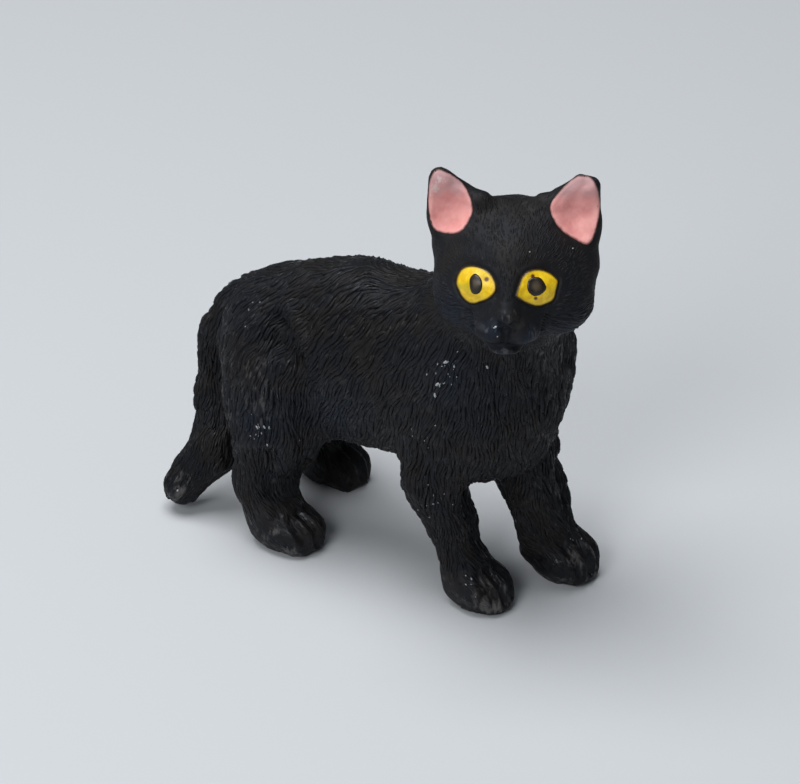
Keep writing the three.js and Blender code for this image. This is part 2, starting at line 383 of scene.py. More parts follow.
# %% Trim the outline of the head
HEAD_STROKES = [  # name, path in the head's frame, width and height in mm
    ("right cheek", [(0.5, -7.2, -0.2), (1.5, -7.1, -1.6), (2.0, -6.6, -3.0)], 2.6, -0.45),
    ("left cheek", [(1.0, 7.8, -1.2)], 2.2, -0.25),
    ("left temple", [(1.0, 7.5, 4.2), (1.0, 7.6, 1.6)], 2.4, 0.40),
    ("right of the crown", [(0.5, -2.8, 7.0)], 1.7, 0.30),
    ("left of the crown", [(0.5, 2.6, 7.2)], 1.7, 0.45),
    ("left ear's inner edge", [(0.3, 3.8, 8.0), (0.3, 5.3, 9.0)], 1.0, 0.45),
    ("right ear's tip", [(0.3, -7.0, 9.2)], 0.9, 0.15),
    ("right ear's inner root", [to_head((12.0, -2.8, 42.8))], 1.5, 0.5),
    ("left ear's inner root", [to_head((16.2, 0.1, 42.8))], 1.5, 0.5),
    ("right end of the crown", [to_head((12.1, -2.2, 42.7)), to_head((12.6, -1.2, 42.6))], 1.4, 0.3),
    ("left end of the crown", [to_head((15.8, 0.0, 42.8)), to_head((14.9, 0.5, 42.4))], 1.4, 0.35),
    ("left ear's tip", [to_head((18.9, 2.5, 44.8))], 0.9, 0.25),
]


def on_head(path, tree):
    """A path through places near the head, given in its frame, laid on the skin."""
    return on_skin(from_head(path), tree)


def carve(points, normals, path, width, height):
    """Raises the skin along a path on it, or presses it in where the height is negative."""
    near = np.all((points > path.min(0) - width) & (points < path.max(0) + width), axis=1)
    spots = np.nonzero(near)[0]
    gaps = np.full(len(spots), np.inf)
    for a in path:
        gaps = np.minimum(gaps, ((points[spots] - a) ** 2).sum(1))
    strength = np.clip(1 - gaps / width**2, 0, 1) ** 2
    points[spots] += normals[spots] * (height * strength)[:, None]


def carve_all(strokes, lay):
    """Carves a list of strokes given as name, path, width and height, after laying each path on the skin."""
    points, normals, tree = points_of(skin.data), normals_of(skin.data), skin_tree()
    for _, path, width, height in strokes:
        carve(points, normals, lay(path, tree), width, height)
    move_points(skin.data, points)
    print("carved:", ", ".join(name for name, *_ in strokes))


carve_all(HEAD_STROKES, on_head)

# %% Blend the ears into the crown
EAR_ROOTS = [(12.0, -2.8, 42.9, 1.6), (16.2, 0.1, 42.9, 1.6)]  # x, y, z and radius in mm
ROOT_PASSES = 24


def near_any(points, spots):
    """The strongest of a list of soft round spots at each point: x, y, z, radius and, if not 1, strength."""
    best = np.zeros(len(points))
    for x, y, z, radius, *strength in spots:
        gaps = ((points - (x, y, z)) ** 2).sum(1) / radius**2
        best = np.maximum(best, (strength[0] if strength else 1) * np.exp(-gaps))
    return best


at_roots = near_any(points_of(skin.data), EAR_ROOTS)
smooth_skin(ROOT_PASSES, at_roots)
print("points smoothed at the ears' roots:", int((at_roots > 0.05).sum()))

# %% Carve the face
NOSE_SIDE = 0.2  # the nose and the mouth stand this far to the kitten's left of the head's middle


def cast(tree, start, towards, reach=12.0):
    """Place and normal where a line through a point meets the skin, coming from the side named by towards."""
    towards = Vector(towards).normalized()
    place, normal, _, _ = tree.ray_cast(Vector(start) * MM + towards * reach * MM, -towards, 2 * reach * MM)
    return (None, None) if place is None else (np.array(place) / MM, np.array(normal))


def on_face(path, tree):
    """A path given as (y, z) in the head's frame, laid on the skin from straight ahead."""
    flat = walk(path)
    starts = from_head(np.column_stack((np.zeros(len(flat)), flat)))
    hits = [cast(tree, start, HEAD_AXES[:, 0])[0] for start in starts]
    return np.array([hit for hit in hits if hit is not None])


def beside_nose(name, path, width, height):
    """The same stroke on the right and the left of the nose."""
    turned = [(2 * NOSE_SIDE - y, z) for y, z in path]
    return [("right " + name, path, width, height), ("left " + name, turned, width, height)]


carve_all([
    *beside_nose("brow", [(-1.3, 1.9), (-2.9, 2.8), (-4.4, 2.6)], 0.9, 0.08),
    *beside_nose("side of the nose", [(-0.95, 0.2), (-0.95, -1.6)], 0.6, -0.10),
    *beside_nose("pad", [(-0.95, -2.75), (-1.15, -3.7), (-2.2, -3.4)], 1.0, 0.34),
    *beside_nose("cheek fold", [(-3.3, -2.0), (-2.9, -3.2), (-2.3, -4.2)], 0.55, -0.24),
    ("nose bridge", [(0.1, 1.4), (NOSE_SIDE, -0.9)], 1.1, 0.10),
    ("nose", [(-0.25, -1.5), (0.8, -1.6)], 0.75, 0.26),
    ("chin", [(-0.6, -6.2), (0.8, -6.2)], 1.3, -0.25),
], on_face)

# %% Cut the nostrils and the mouth
MOUTH = [(-3.0, -3.4), (-2.2, -4.3), (-1.2, -4.75), (0.05, -4.6), (1.5, -4.85), (2.5, -4.7), (3.3, -4.0)]
carve_all([
    *beside_nose("nostril", [(-0.2, -2.25), (-0.45, -2.1)], 0.27, -0.20),
    ("under the nose", [(-0.4, -2.75), (NOSE_SIDE, -2.85), (0.7, -2.75)], 0.4, -0.22),
    ("philtrum", [(0.1, -2.8), (0.05, -4.5)], 0.5, -0.36),
    ("mouth", MOUTH, 0.45, -0.42),
    ("lower lip", [(-1.2, -5.35), (0.05, -5.2), (1.2, -5.3)], 0.45, 0.14),
], on_face)

# %% Strokes on the back and the haunches


def both(name, path, width, height):
    """The same stroke on the kitten's right side, where it is given, and on its left."""
    turned = [(x, -y, z) for x, y, z in path]
    return [("right " + name, path, width, height), ("left " + name, turned, width, height)]


EDGE = [(-9.6, -5.8, 24.7), (-8.3, -5.3, 23.9), (-7.1, -5.5, 23.1), (-6.3, -5.9, 22.2), (-6.0, -6.0, 21.0)]
LIP = [(-8.6, -4.8, 25.2), (-7.0, -4.8, 24.4), (-5.6, -5.5, 22.8), (-5.0, -6.2, 21.0)]
FOLD = [(-6.1, -6.1, 21.3), (-5.3, -6.8, 19.0), (-5.1, -6.7, 16.4), (-5.7, -6.2, 12.8)]
haunches = [
    ("withers", [(0.5, 0.0, 30.6), (6.5, 0.0, 29.6)], 3.2, -0.35),
    ("loins", [(-6.0, -0.2, 29.6), (-1.8, 0.5, 30.3)], 3.6, -0.35),
    *both("hip", [(-11.8, -5.8, 23.8), (-10.2, -5.5, 24.0)], 2.2, 0.35),
    *both("thigh top", [(-10.4, -7.6, 21.9), (-8.9, -7.2, 22.0)], 2.3, -0.35),
    *both("haunch hollow", [(-9.4, -6.3, 23.8), (-8.4, -6.5, 22.9)], 2.5, -1.0),
    *both("foot of the hollow", [(-8.6, -7.1, 21.4), (-8.4, -7.4, 19.8)], 2.8, -0.5),
    *both("edge of the hollow", EDGE, 1.1, -0.6),
    *both("lip of the hollow", LIP, 1.5, 0.35),
    *both("fold before the thigh", FOLD, 2.0, -0.8),
    *both("thigh", [(-10.2, -8.5, 18.5), (-10.3, -9.0, 12.5)], 2.4, 0.22),
    *both("thigh's lower edge", [(-10.0, -9.1, 12.8), (-8.8, -8.8, 12.7), (-7.4, -8.3, 12.7)], 1.3, 0.25),
    *both("shank", [(-8.3, -8.8, 10.8), (-8.1, -8.3, 9.2), (-8.6, -7.7, 7.4)], 2.2, -1.0),
    *both("front of the shank", [(-6.3, -6.4, 10.6), (-6.7, -5.6, 8.6), (-6.6, -5.6, 7.0)], 2.0, -0.8),
    *both("hock hollow", [(-14.6, -7.0, 11.0), (-15.0, -6.6, 8.4)], 1.8, -0.3),
]
print("strokes on the back and the haunches:", len(haunches))

# %% Strokes on the tail and the forelegs
TAIL_FOLD = [(-18.2, -3.2, 16.5), (-18.6, -3.6, 14.0), (-18.0, -4.1, 11.6), (-17.3, -4.4, 9.6)]
limbs = [
    ("right tail fold", TAIL_FOLD, 1.2, -0.4),
    ("left tail fold", [(x, -y, z) for x, y, z in TAIL_FOLD], 1.2, -0.35),
    *both("elbow", [(6.6, -7.3, 19.0), (8.6, -7.2, 15.5)], 1.4, -0.22),
    ("left ruff", [(13.2, 5.6, 30.6), (14.4, 5.2, 28.4)], 1.8, 0.35),
    ("rump", [(-17.6, 0.0, 24.4)], 3.0, -0.15),
    ("root of the tail", [(-19.4, -1.4, 22.0), (-20.1, -2.4, 19.0), (-20.4, -2.9, 15.6)], 2.4, 0.48),
    ("side of the tail", [(-19.3, -3.5, 12.0), (-19.4, -5.9, 8.7)], 1.8, -0.3),
    ("bend of the tail", [(-20.6, -5.0, 9.2), (-21.1, -5.5, 7.2)], 2.0, -0.75),
    ("left wrist", [(15.9, 6.4, 7.5), (16.3, 6.9, 5.5)], 1.8, -0.35),
    ("outside of the left foreleg", [(15.2, 6.3, 11.0), (15.6, 6.2, 8.5)], 2.2, -1.05),
    ("left elbow's notch", [(14.0, 6.4, 15.2), (13.9, 6.0, 13.6)], 1.7, 0.75),
    ("inside of the right foreleg", [(10.9, -2.5, 11.4), (11.3, -2.6, 9.1), (11.9, -2.6, 6.8)], 2.4, -0.95),
    ("inside of the left foreleg", [(13.6, 1.9, 11.5), (14.0, 2.6, 7.5), (14.6, 3.0, 4.5)], 2.0, 0.8),
    ("inside of the left wrist", [(13.5, 1.3, 6.7), (13.6, 2.1, 5.0), (13.1, 3.2, 3.0)], 1.9, 0.75),
    ("under the chest", [(13.2, -1.6, 13.2), (12.6, -0.4, 13.0)], 2.2, -0.4),
    ("right elbow's corner", [(6.2, -6.2, 14.0), (6.6, -6.2, 12.5)], 1.6, -0.3),
    ("right forepaw's rim", [(10.8, -6.0, 2.2), (12.0, -6.1, 1.2), (14.2, -5.2, 0.6)], 1.6, -0.25),
    ("left forepaw's rim", [(17.4, 3.4, 0.5), (18.8, 5.0, 0.6), (19.2, 6.6, 1.2)], 1.6, -0.3),
    ("right hindpaw's rim", [(-4.9, -4.1, 1.0), (-4.9, -5.7, 0.6), (-5.6, -7.2, 0.5)], 1.5, -0.3),
]
carve_all(haunches + limbs, on_skin)

# %% Part the toes
SIDES = ("right", "left")
TOE_GAP = 1.4  # mm between the grooves that part the four toes
TOE_SIDE = -0.3  # mm that the middle groove lies to the kitten's right of the paw's middle
TOE_GROOVE = [(2.7, 3.9), (1.5, 3.3), (0.4, 1.9), (0.3, 1.4)]  # mm behind the toes' front, mm above the floor
TOE_BACK = 0.3  # mm that the outer grooves start further back
PAW_PASSES = 4

toes = []
for leg in ("fore", "hind"):
    for side in SIDES:
        low, high = np.array(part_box(f"{leg}paw_{side}")) / MM
        middle = (low[1] + high[1]) / 2 + TOE_SIDE
        for groove in (-1, 0, 1):
            path = []
            for i, (back, up) in enumerate(TOE_GROOVE):
                spread, more = (0.8, 0) if i == 0 else (1, TOE_BACK * abs(groove))
                path.append((high[0] - back - more, middle + groove * TOE_GAP * spread, up))
            toes.append((f"toe of the {side} {leg}paw", path, 0.75, -0.5))
carve_all(toes, on_skin)
smooth_skin(PAW_PASSES, paw_mask(points_of(skin.data)))

# %% [markdown]
# ## Painted outlines
# The eyes and the ears were painted by hand, so their edges wobble and differ from each other. Each edge is
# a closed curve through 8 to 15 points, in millimetres to the right and up, as a painter sees the kitten
# who sits where the camera is. A curve through a few points wobbles like a brush does, and a circle doesn't.

# %% Outlines of the paint
PAINTED_FROM = np.array(direction(CAMERA_AROUND, CAMERA_ABOVE))
PAINT_RIGHT = np.array((math.cos(CAMERA_AROUND), math.sin(CAMERA_AROUND), 0))
PAINT_UP = np.cross(PAINTED_FROM, PAINT_RIGHT)
EYE_PLACE = {"right": (6.15, -2.74, 0.65), "left": (6.15, 2.75, 0.64)}
EYE_EDGE = {
    "right": [(1.8, -0.14), (1.67, -0.79), (1.06, -1.34), (0.32, -1.62), (-0.14, -1.76), (-0.79, -1.62),
              (-1.34, -1.06), (-1.62, -0.51), (-1.85, 0.14), (-1.71, 0.88), (-1.34, 1.43), (-0.69, 1.71),
              (0.14, 1.62), (0.97, 1.25), (1.53, 0.6)],
    "left": [(1.8, 0.37), (1.62, -0.37), (1.43, -1.02), (0.88, -1.39), (-0.05, -1.67), (-0.88, -1.48),
             (-1.62, -1.11), (-1.99, -0.88), (-2.08, -0.65), (-1.8, 0.28), (-1.43, 1.11), (-0.79, 1.57),
             (0.14, 1.71), (1.06, 1.39), (1.76, 0.83)],
}
PUPIL_PLACE = {"right": (6.1, -2.82, 0.71), "left": (6.14, 2.57, 0.72)}
PUPIL_EDGE = {
    "right": [(0.58, 0.05), (0.49, -0.6), (0.12, -0.93), (-0.34, -0.79), (-0.53, -0.14), (-0.48, 0.51),
              (-0.07, 0.88), (0.35, 0.6)],
    "left": [(0.83, 0.09), (0.79, -0.28), (0.32, -0.69), (-0.23, -0.79), (-0.69, -0.46), (-0.83, 0.0),
             (-0.69, 0.65), (-0.14, 0.88), (0.42, 0.74)],
}
EAR_PLACE = {"right": (1.0, -5.64, 6.34), "left": (1.2, 5.67, 6.68)}
EAR_EDGE = {
    "right": [(1.94, -1.11), (0.93, -2.59), (-0.46, -2.68), (-1.57, -2.04), (-1.95, 0.28), (-1.9, 1.67),
              (-1.5, 2.7), (-0.93, 2.96), (0.46, 2.31), (1.39, 1.39), (1.94, 0.0)],
    "left": [(2.08, -0.28), (1.57, -2.5), (0.93, -3.33), (-0.18, -2.87), (-1.11, -2.31), (-1.94, -1.39),
             (-2.4, 0.09), (-1.39, 1.57), (-0.09, 2.78), (0.56, 2.96), (1.39, 2.68), (2.04, 0.83)],
}
print("points of the eyes' outlines:", {side: len(edge) for side, edge in EYE_EDGE.items()})

# %% Smooth a closed outline


def smooth_edge(points, steps=12):
    """A closed smooth curve through a few points, with more points between them: a Catmull-Rom curve."""
    p = np.asarray(points, float)
    before, after, beyond = np.roll(p, 1, 0), np.roll(p, -1, 0), np.roll(p, -2, 0)
    curve = []
    for t in np.arange(steps) / steps:
        a = -0.5 * t**3 + t**2 - 0.5 * t
        b = 1.5 * t**3 - 2.5 * t**2 + 1
        c = -1.5 * t**3 + 2 * t**2 + 0.5 * t
        d = 0.5 * t**3 - 0.5 * t**2
        curve.append(a * before + b * p + c * after + d * beyond)
    return np.stack(curve, 1).reshape(-1, 2)


def edge_reach(points):
    """For an outline round its own centre, a function from an angle to the outline's distance."""
    curve = smooth_edge(points)
    angles = np.arctan2(curve[:, 1], curve[:, 0])
    order = np.argsort(angles)
    far = np.hypot(curve[:, 0], curve[:, 1])[order]
    return lambda angle: np.interp(angle, angles[order], far, period=2 * math.pi)


reach = float(edge_reach(EYE_EDGE["right"])(0.0))
print("reach of the right eye's outline to one side in mm:", round(reach, 2))

# %% [markdown]
# ## Eye sockets and ear dishes
# The mould has a low dome for each eyeball, with a fine sunk line round it and a faint lid outside the
# line. Each ear is hollowed to a shallow dish with a thin rim. The painter followed these shapes, so the
# paint's outlines also say where the skin rises and sinks. That keeps the paint and the relief together.

# %% How far out a point lies in an outline


def paint_plane(points, place):
    """Where points lie as the painter sees a place on the head: to the right, up and towards the painter."""
    away = points - from_head(place)
    return away @ PAINT_RIGHT, away @ PAINT_UP, away @ PAINTED_FROM


def part_way(points, place, edge):
    """How far out points lie between an outline's centre, 0, and the outline itself, 1."""
    right, up, _ = paint_plane(points, place)
    return np.hypot(right, up) / edge_reach(edge)(np.arctan2(up, right))


points, normals = points_of(skin.data), normals_of(skin.data)
in_line = part_way(points, EYE_PLACE["right"], EYE_EDGE["right"]) < 1
print("points in line with the right eye, on both sides of the head:", int(in_line.sum()))

# %% Sink the eye rims and the ear dishes
EYE_DOME = 0.16  # mm high
EYE_RIM = 0.10  # mm deep
LID = 0.04  # mm high
EAR_DISH = 0.22  # mm deep
EYE_NEAR, EAR_NEAR = 3, 4  # mm towards or away from the painter; what is further lies behind
SOLE = 0.12  # mm above the floor, below which the soles are flat


def ring(out, middle, width):
    """1 at one part of the way out, and less on both sides of it."""
    return np.exp(-(((out - middle) / width) ** 2))


facing = ramp(normals @ PAINTED_FROM, 0.0, 0.35)
for side in SIDES:
    out = part_way(points, EYE_PLACE[side], EYE_EDGE[side])
    near = np.abs(paint_plane(points, EYE_PLACE[side])[2]) < EYE_NEAR
    dome = np.clip(1 - (out / 1.15) ** 2, 0, 1)
    rise = EYE_DOME * dome - EYE_RIM * ring(out, 1.02, 0.07) + LID * ring(out, 1.16, 0.1)
    points += PAINTED_FROM * (near * facing * rise)[:, None]

    out = part_way(points, EAR_PLACE[side], EAR_EDGE[side])
    near = np.abs(paint_plane(points, EAR_PLACE[side])[2]) < EAR_NEAR
    points -= PAINTED_FROM * (near * facing * EAR_DISH * (1 - ramp(out, 0.72, 1.0)))[:, None]
flat = points[:, 2] < SOLE
points[flat, 2] = 0
move_points(skin.data, points)
print("points on the flat soles:", int(flat.sum()))

# %% Thin out the faces where the skin is smooth
SKIN_TRIANGLES = 190000
thin = skin.modifiers.new("fewer faces", "DECIMATE")
thin.ratio = SKIN_TRIANGLES / (2 * len(skin.data.polygons))
thin.use_collapse_triangulate = True
settle(skin)
print("triangles on the skin:", len(skin.data.polygons))

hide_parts(*[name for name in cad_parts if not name.startswith("eye")])
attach(skin, "root")
skin.data.shade_smooth()

# %% [markdown]
# ## Layers of paint
# Enamel and acrylic stand a hair above what they cover, with a rounded edge. So each painted spot is a thin
# closed disc. It starts as a circle with rings inside it, takes the shape of its outline, and is cast onto
# the skin.

# %% Reach of the brush
AROUND = 96  # corners of a spot's edge
ANGLES = np.arange(AROUND + 1) * 2 * math.pi / AROUND
LEAST_FACING = 0.25  # a surface turned further away than this gets no paint
LEAST_ROOM = 0.4  # share of its outline that a spot always keeps
ROOM_STEP = 0.02
BESIDE = range(-3, 4)  # corners of the edge that are evened out together


def brush_hit(tree, middle, angle, far):
    """Where the brush meets the surface at an angle and a distance from the middle of a spot."""
    start = middle + PAINT_RIGHT * far * math.cos(angle) + PAINT_UP * far * math.sin(angle)
    place, normal = cast(tree, start, PAINTED_FROM, reach=3.0)
    return (None, None) if place is None or normal @ PAINTED_FROM < LEAST_FACING else (place, normal)


def room_round(tree, middle, reach):
    """The share of the outline's reach, all the way round, where the surface still faces the brush."""
    room = np.ones(AROUND)
    for i, angle in enumerate(ANGLES[:-1]):
        far = float(reach(angle))
        while room[i] > LEAST_ROOM and brush_hit(tree, middle, angle, far * room[i])[0] is None:
            room[i] -= ROOM_STEP
    least = np.min([np.roll(room, k) for k in BESIDE], axis=0)
    return np.mean([np.roll(least, k) for k in BESIDE], axis=0)


skin_top = skin_tree()
room = room_round(skin_top, from_head(EAR_PLACE["left"]), edge_reach(EAR_EDGE["left"]))
print("least room round the left ear's paint:", round(float(room.min()), 2))

# %% A flat disc to start from


def ring_disc(rings):
    """A flat disc with a radius of 1, made of rings of faces."""
    bm = bmesh.new()
    bmesh.ops.create_circle(bm, cap_ends=True, radius=1, segments=AROUND)
    cap = bm.faces[:]
    for _ in range(rings - 1):
        bmesh.ops.inset_individual(bm, faces=cap, thickness=1 / rings, use_even_offset=True)
    bmesh.ops.poke(bm, faces=cap)
    return bm


disc = ring_disc(5)
print("faces in a disc of 5 rings:", len(disc.faces))
disc.free()

# %% A spot of paint
STEP_IN = 0.98  # a point that misses the surface is moved in by this, until it hits
EDGE_THINNER = 0.75  # share by which a spot is lower at its edge


def paint_spot(name, place, edge, tree, rings, lift, depth=0.12):
    """A thin disc inside an outline, laid on the surface in the tree, lift mm above it."""
    reach, middle = edge_reach(edge), from_head(place)
    room = room_round(tree, middle, reach)
    bm = ring_disc(rings)
    out_layer = bm.verts.layers.float.new("out")
    up_layer = bm.verts.layers.float.new("up")
    for vert in bm.verts:
        angle, out = math.atan2(vert.co.y, vert.co.x), min(vert.co.xy.length, 1)
        share = np.interp(angle % (2 * math.pi), ANGLES, [*room, room[0]])
        far, hit = float(reach(angle)) * out * share, None
        while hit is None:
            hit, normal = brush_hit(tree, middle, angle, far)
            far *= STEP_IN
        vert[out_layer] = out
        vert[up_layer] = out * math.sin(angle)
        vert.co = Vector(hit + normal * lift * (1 - EDGE_THINNER * out**8)) * MM
    bm.normal_update()
    if sum((face.normal for face in bm.faces), Vector()).dot(Vector(PAINTED_FROM)) < 0:
        bmesh.ops.reverse_faces(bm, faces=bm.faces[:])
    bmesh.ops.solidify(bm, geom=bm.faces[:], thickness=depth * MM)
    bmesh.ops.recalc_face_normals(bm, faces=bm.faces[:])
    print(name, "faces:", len(bm.faces), "closed:", all(e.is_manifold for e in bm.edges))
    spot = add_object(name, mesh_of(bm, name))
    spot.data.shade_smooth()
    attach(spot, "root")
    return spot


print("spots of paint to lay:", 3 * len(SIDES))

# %% Lay the paint
yellow_spots, brown_spots, pink_spots = [], [], []
for side in SIDES:
    eye = paint_spot(f"eye_paint_{side}", EYE_PLACE[side], EYE_EDGE[side], skin_top, rings=9, lift=0.07)
    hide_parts(f"eye_{side}")
    yellow_spots.append(eye)
    eye_top = BVHTree.FromObject(eye, bpy.context.evaluated_depsgraph_get())
    brown_spots.append(paint_spot(f"pupil_{side}", PUPIL_PLACE[side], PUPIL_EDGE[side], eye_top,
                                  rings=5, lift=0.03, depth=0.06))
    pink_spots.append(paint_spot(f"ear_paint_{side}", EAR_PLACE[side], EAR_EDGE[side], skin_top,
                                 rings=12, lift=0.10))

# %% [markdown]
# ## Yellow, brown and pink
# The yellow is a thick opaque enamel, laid in two or three strokes, so it is a little streaky, and darker
# at its edge where the black shows through. The brown of the pupils is the same enamel, thinned to a matt
# bloom in the middle. The pink is a flat acrylic with a red-brown fringe where it thins out; it is made
# greyer and darker towards the tip of the ear, which is painted shade for the top of the dish that faces
# away from the light. Each disc carries two numbers: out, from its middle to its edge, and up, from its
# bottom to its top.

# %% Yellow enamel
STREAK = 0.55 * MM  # width of one brush mark
THIN_PLACE = 1.3 * MM  # width of a place where the black shows through and turns the yellow olive
SPECKS = [  # x, y, z of a brown speck, and its radius in mm
    (15.8, -7.8, 38.1, 0.22), (19.1, -5.4, 38.4, 0.2), (19.8, -5.9, 36.6, 0.18),
]
FINE = {"Detail": 2.0, "Roughness": 0.55}  # values of every fine noise pattern in the paint


def tint(tree, colour, over, value, low, high, at_low=0, at_high=1):
    """Lays a second colour over the first, more and more as a value goes from low to high."""
    span = {"Value": value, "From Min": low, "From Max": high, "To Min": at_low, "To Max": at_high}
    share = add_node(tree, "MapRange", span, interpolation_type="SMOOTHSTEP")
    return add_node(tree, "Mix", {0: share, 6: colour, 7: over}, out=2, data_type="RGBA")


def give_paint(material, shader, colour, relief, spots):
    """Links a material's colour and relief to its shader, and puts it on the spots."""
    tree = material.node_tree
    tree.links.new(colour, shader.inputs["Base Color"])
    tree.links.new(relief, shader.inputs["Normal"])
    for spot in spots:
        spot.data.materials.append(material)
    print(material.name, "nodes:", len(tree.nodes))


yellow, tree, shader = new_material("yellow_enamel", Roughness=0.38, IOR=1.5)
place = add_node(tree, "TexCoord", out="Object")
streaks = add_node(tree, "TexNoise", {"Vector": place, "Scale": 1 / STREAK, **FINE})
colour = tint(tree, "#E0B509", "#F0CB1E", streaks, 0.36, 0.64)
thin_places = add_node(tree, "TexNoise", {"Vector": place, "Scale": 1 / THIN_PLACE, **FINE})
colour = tint(tree, colour, "#B0A61C", thin_places, 0.56, 0.72, 0, 0.5)
for *spot, radius in SPECKS:
    gap = add_node(tree, "VectorMath", {0: place, 1: Vector(spot) * MM}, out="Value", operation="DISTANCE")
    colour = tint(tree, colour, "#5C3410", gap, 0.5 * radius * MM, 1.4 * radius * MM, 1, 0)
out = add_node(tree, "Attribute", out="Fac", attribute_name="out")
ragged = add_node(tree, "Math", {0: streaks, 1: 0.10, 2: out}, operation="MULTIPLY_ADD")
colour = tint(tree, colour, "#3A2A10", ragged, 0.87, 1.0)
relief = add_node(tree, "Bump", {"Height": streaks, "Distance": 0.03 * MM})
give_paint(yellow, shader, colour, relief, yellow_spots)

# %% Brown enamel
BLOOM = 0.35 * MM  # grain of the matt bloom

brown, tree, shader = new_material("brown_enamel", Roughness=0.38, IOR=1.5)
place = add_node(tree, "TexCoord", out="Object")
clouds = add_node(tree, "TexNoise", {"Vector": place, "Scale": 1 / BLOOM, **FINE})
out = add_node(tree, "Attribute", out="Fac", attribute_name="out")
bloom = add_node(tree, "Math", {0: clouds, 1: 0.4, 2: out}, operation="MULTIPLY_ADD")
colour = tint(tree, "#4B4131", "#1A1109", bloom, 0.3, 0.95)
relief = add_node(tree, "Bump", {"Height": clouds, "Distance": 0.02 * MM})
give_paint(brown, shader, colour, relief, brown_spots)

# %% Pink acrylic
CHIPS = [(8.2, -5.0, 43.6, 0.3), (8.5, -4.7, 44.4, 0.2), (7.9, -5.4, 42.9, 0.2)]  # x, y, z, radius in mm
MOTTLE = 0.9 * MM  # width of a paler or a deeper place
CRUMB = 0.22 * MM  # grain at the edge of a worn place
FRAY = 0.4 * MM  # grain at the edge of the paint

pink, tree, shader = new_material("pink_acrylic", Roughness=0.55, IOR=1.49)
place = add_node(tree, "TexCoord", out="Object")
mottle = add_node(tree, "TexNoise", {"Vector": place, "Scale": 1 / MOTTLE, **FINE})
colour = tint(tree, "#DA938F", "#E5A39E", mottle, 0.3, 0.7)
# painted shade: the pink goes greyer and darker towards the tip of the ear, the top of the dish, which faces
# away from the light
up = add_node(tree, "Attribute", out="Fac", attribute_name="up")
height = add_node(tree, "Math", {0: mottle, 1: 0.5, 2: up}, operation="MULTIPLY_ADD")
colour = tint(tree, colour, "#A98C90", height, 0.35, 1.1, 0, 0.75)
crumbs = add_node(tree, "TexNoise", {"Vector": place, "Scale": 1 / CRUMB, **FINE})
for *spot, radius in CHIPS:
    gap = add_node(tree, "VectorMath", {0: place, 1: Vector(spot) * MM}, out="Value", operation="DISTANCE")
    ragged = add_node(tree, "Math", {0: crumbs, 1: 1.4 * MM, 2: gap}, operation="MULTIPLY_ADD")
    colour = tint(tree, colour, "#C9B9B8", ragged, (radius + 0.5) * MM, (radius + 0.9) * MM, 0.7, 0)
out = add_node(tree, "Attribute", out="Fac", attribute_name="out")
fray = add_node(tree, "TexNoise", {"Vector": place, "Scale": 1 / FRAY, **FINE})
ragged = add_node(tree, "Math", {0: fray, 1: 0.08, 2: out}, operation="MULTIPLY_ADD")
colour = tint(tree, colour, "#4A221C", ragged, 0.96, 1.06)
relief = add_node(tree, "Bump", {"Height": fray, "Distance": 0.04 * MM})
give_paint(pink, shader, colour, relief, pink_spots)

# %% [markdown]
# ## Black paint
# A satin black acrylic over a moulded casting. It is never one black: it is browner where it is thin, and
# handling has worn it to grey on the toes and the tip of the tail. Light is painted into it too: a bluish
# painted reflection on the cheeks, the chest, the flanks and the muzzle, and pale painted highlights on
# the nose, the muzzle pads and the lower lip, laid in with the wear. The skin and the carved fur must
# agree, so one set of functions of place gives each point of both its wear, its painted highlights and
# its painted reflection.

# %% Where the paint is worn, and where highlights and a bluish reflection are painted
WEAR_AND_HIGHLIGHTS = [  # x, y, z of a place that is worn or carries a painted highlight, its radius in mm, and how strong it is
    (14.3, -5.4, 1.4, 1.1, 0.9), (15.0, -4.2, 1.2, 1.0, 0.8), (13.8, -5.3, 3.1, 0.8, 0.35),
    (14.9, -3.1, 2.7, 0.9, 0.4), (18.1, 4.0, 3.2, 1.0, 0.6), (17.4, 4.7, 4.3, 0.6, 0.5),
    (18.3, 6.0, 3.8, 0.8, 0.45), (17.6, 3.1, 0.9, 0.8, 0.6), (-6.5, -7.7, 0.7, 0.9, 1.0),
    (-8.0, -8.3, 2.8, 0.9, 0.45), (-6.7, -7.0, 3.4, 0.8, 0.35), (-9.2, -8.3, 1.6, 0.8, 0.4),
    (-19.7, -8.0, 3.1, 0.9, 0.7), (-19.5, -7.5, 4.1, 1.0, 0.45), (-20.4, -8.2, 1.9, 0.9, 0.5),
    (18.2, 6.5, 1.2, 0.8, 0.5), (-9.8, -8.3, 19.0, 2.2, 0.3), (-9.0, -8.6, 16.0, 2.0, 0.28),
    # from here on the places lie on the face: painted highlights on the nose, the muzzle pads and the lower
    # lip
    (18.6, -9.2, 35.7, 0.7, 0.22), (16.6, -8.9, 32.2, 0.9, 0.16), (18.9, -8.9, 36.0, 0.6, 0.3),
    (17.8, -9.5, 34.4, 0.8, 0.35), (20.4, -7.5, 33.5, 0.8, 0.3), (17.6, -9.0, 31.8, 0.4, 0.4),
    (18.4, -8.8, 32.0, 0.45, 0.5), (18.9, -8.3, 31.9, 0.4, 0.4),
]
PAINTED_BLUE_REFLECTIONS = [  # x, y, z of a place with a painted bluish reflection, its radius in mm, and how strong the reflection is
    (12.6, -9.0, 34.2, 2.0, 0.8), (15.5, -8.9, 33.0, 2.0, 0.8), (21.0, -3.0, 32.5, 2.0, 0.8),
    (11.0, -6.8, 26.0, 3.5, 0.6), (-9.5, -8.7, 15.0, 3.5, 0.6), (-2.0, -6.5, 17.5, 3.5, 0.7),
    (-15.5, -5.0, 23.5, 3.0, 0.5), (9.5, 7.0, 22.0, 4.0, 0.6), (17.8, -9.5, 34.3, 0.9, 1.6),
    (20.4, -7.5, 33.5, 0.9, 1.4), (18.3, -8.8, 32.0, 0.6, 1.4), (13.0, -8.7, 33.4, 0.9, 1.2),
]
EARS_WORN = 0.3  # at the tips of the ears
HEAD_MATT = 0.62  # least roughness on the head


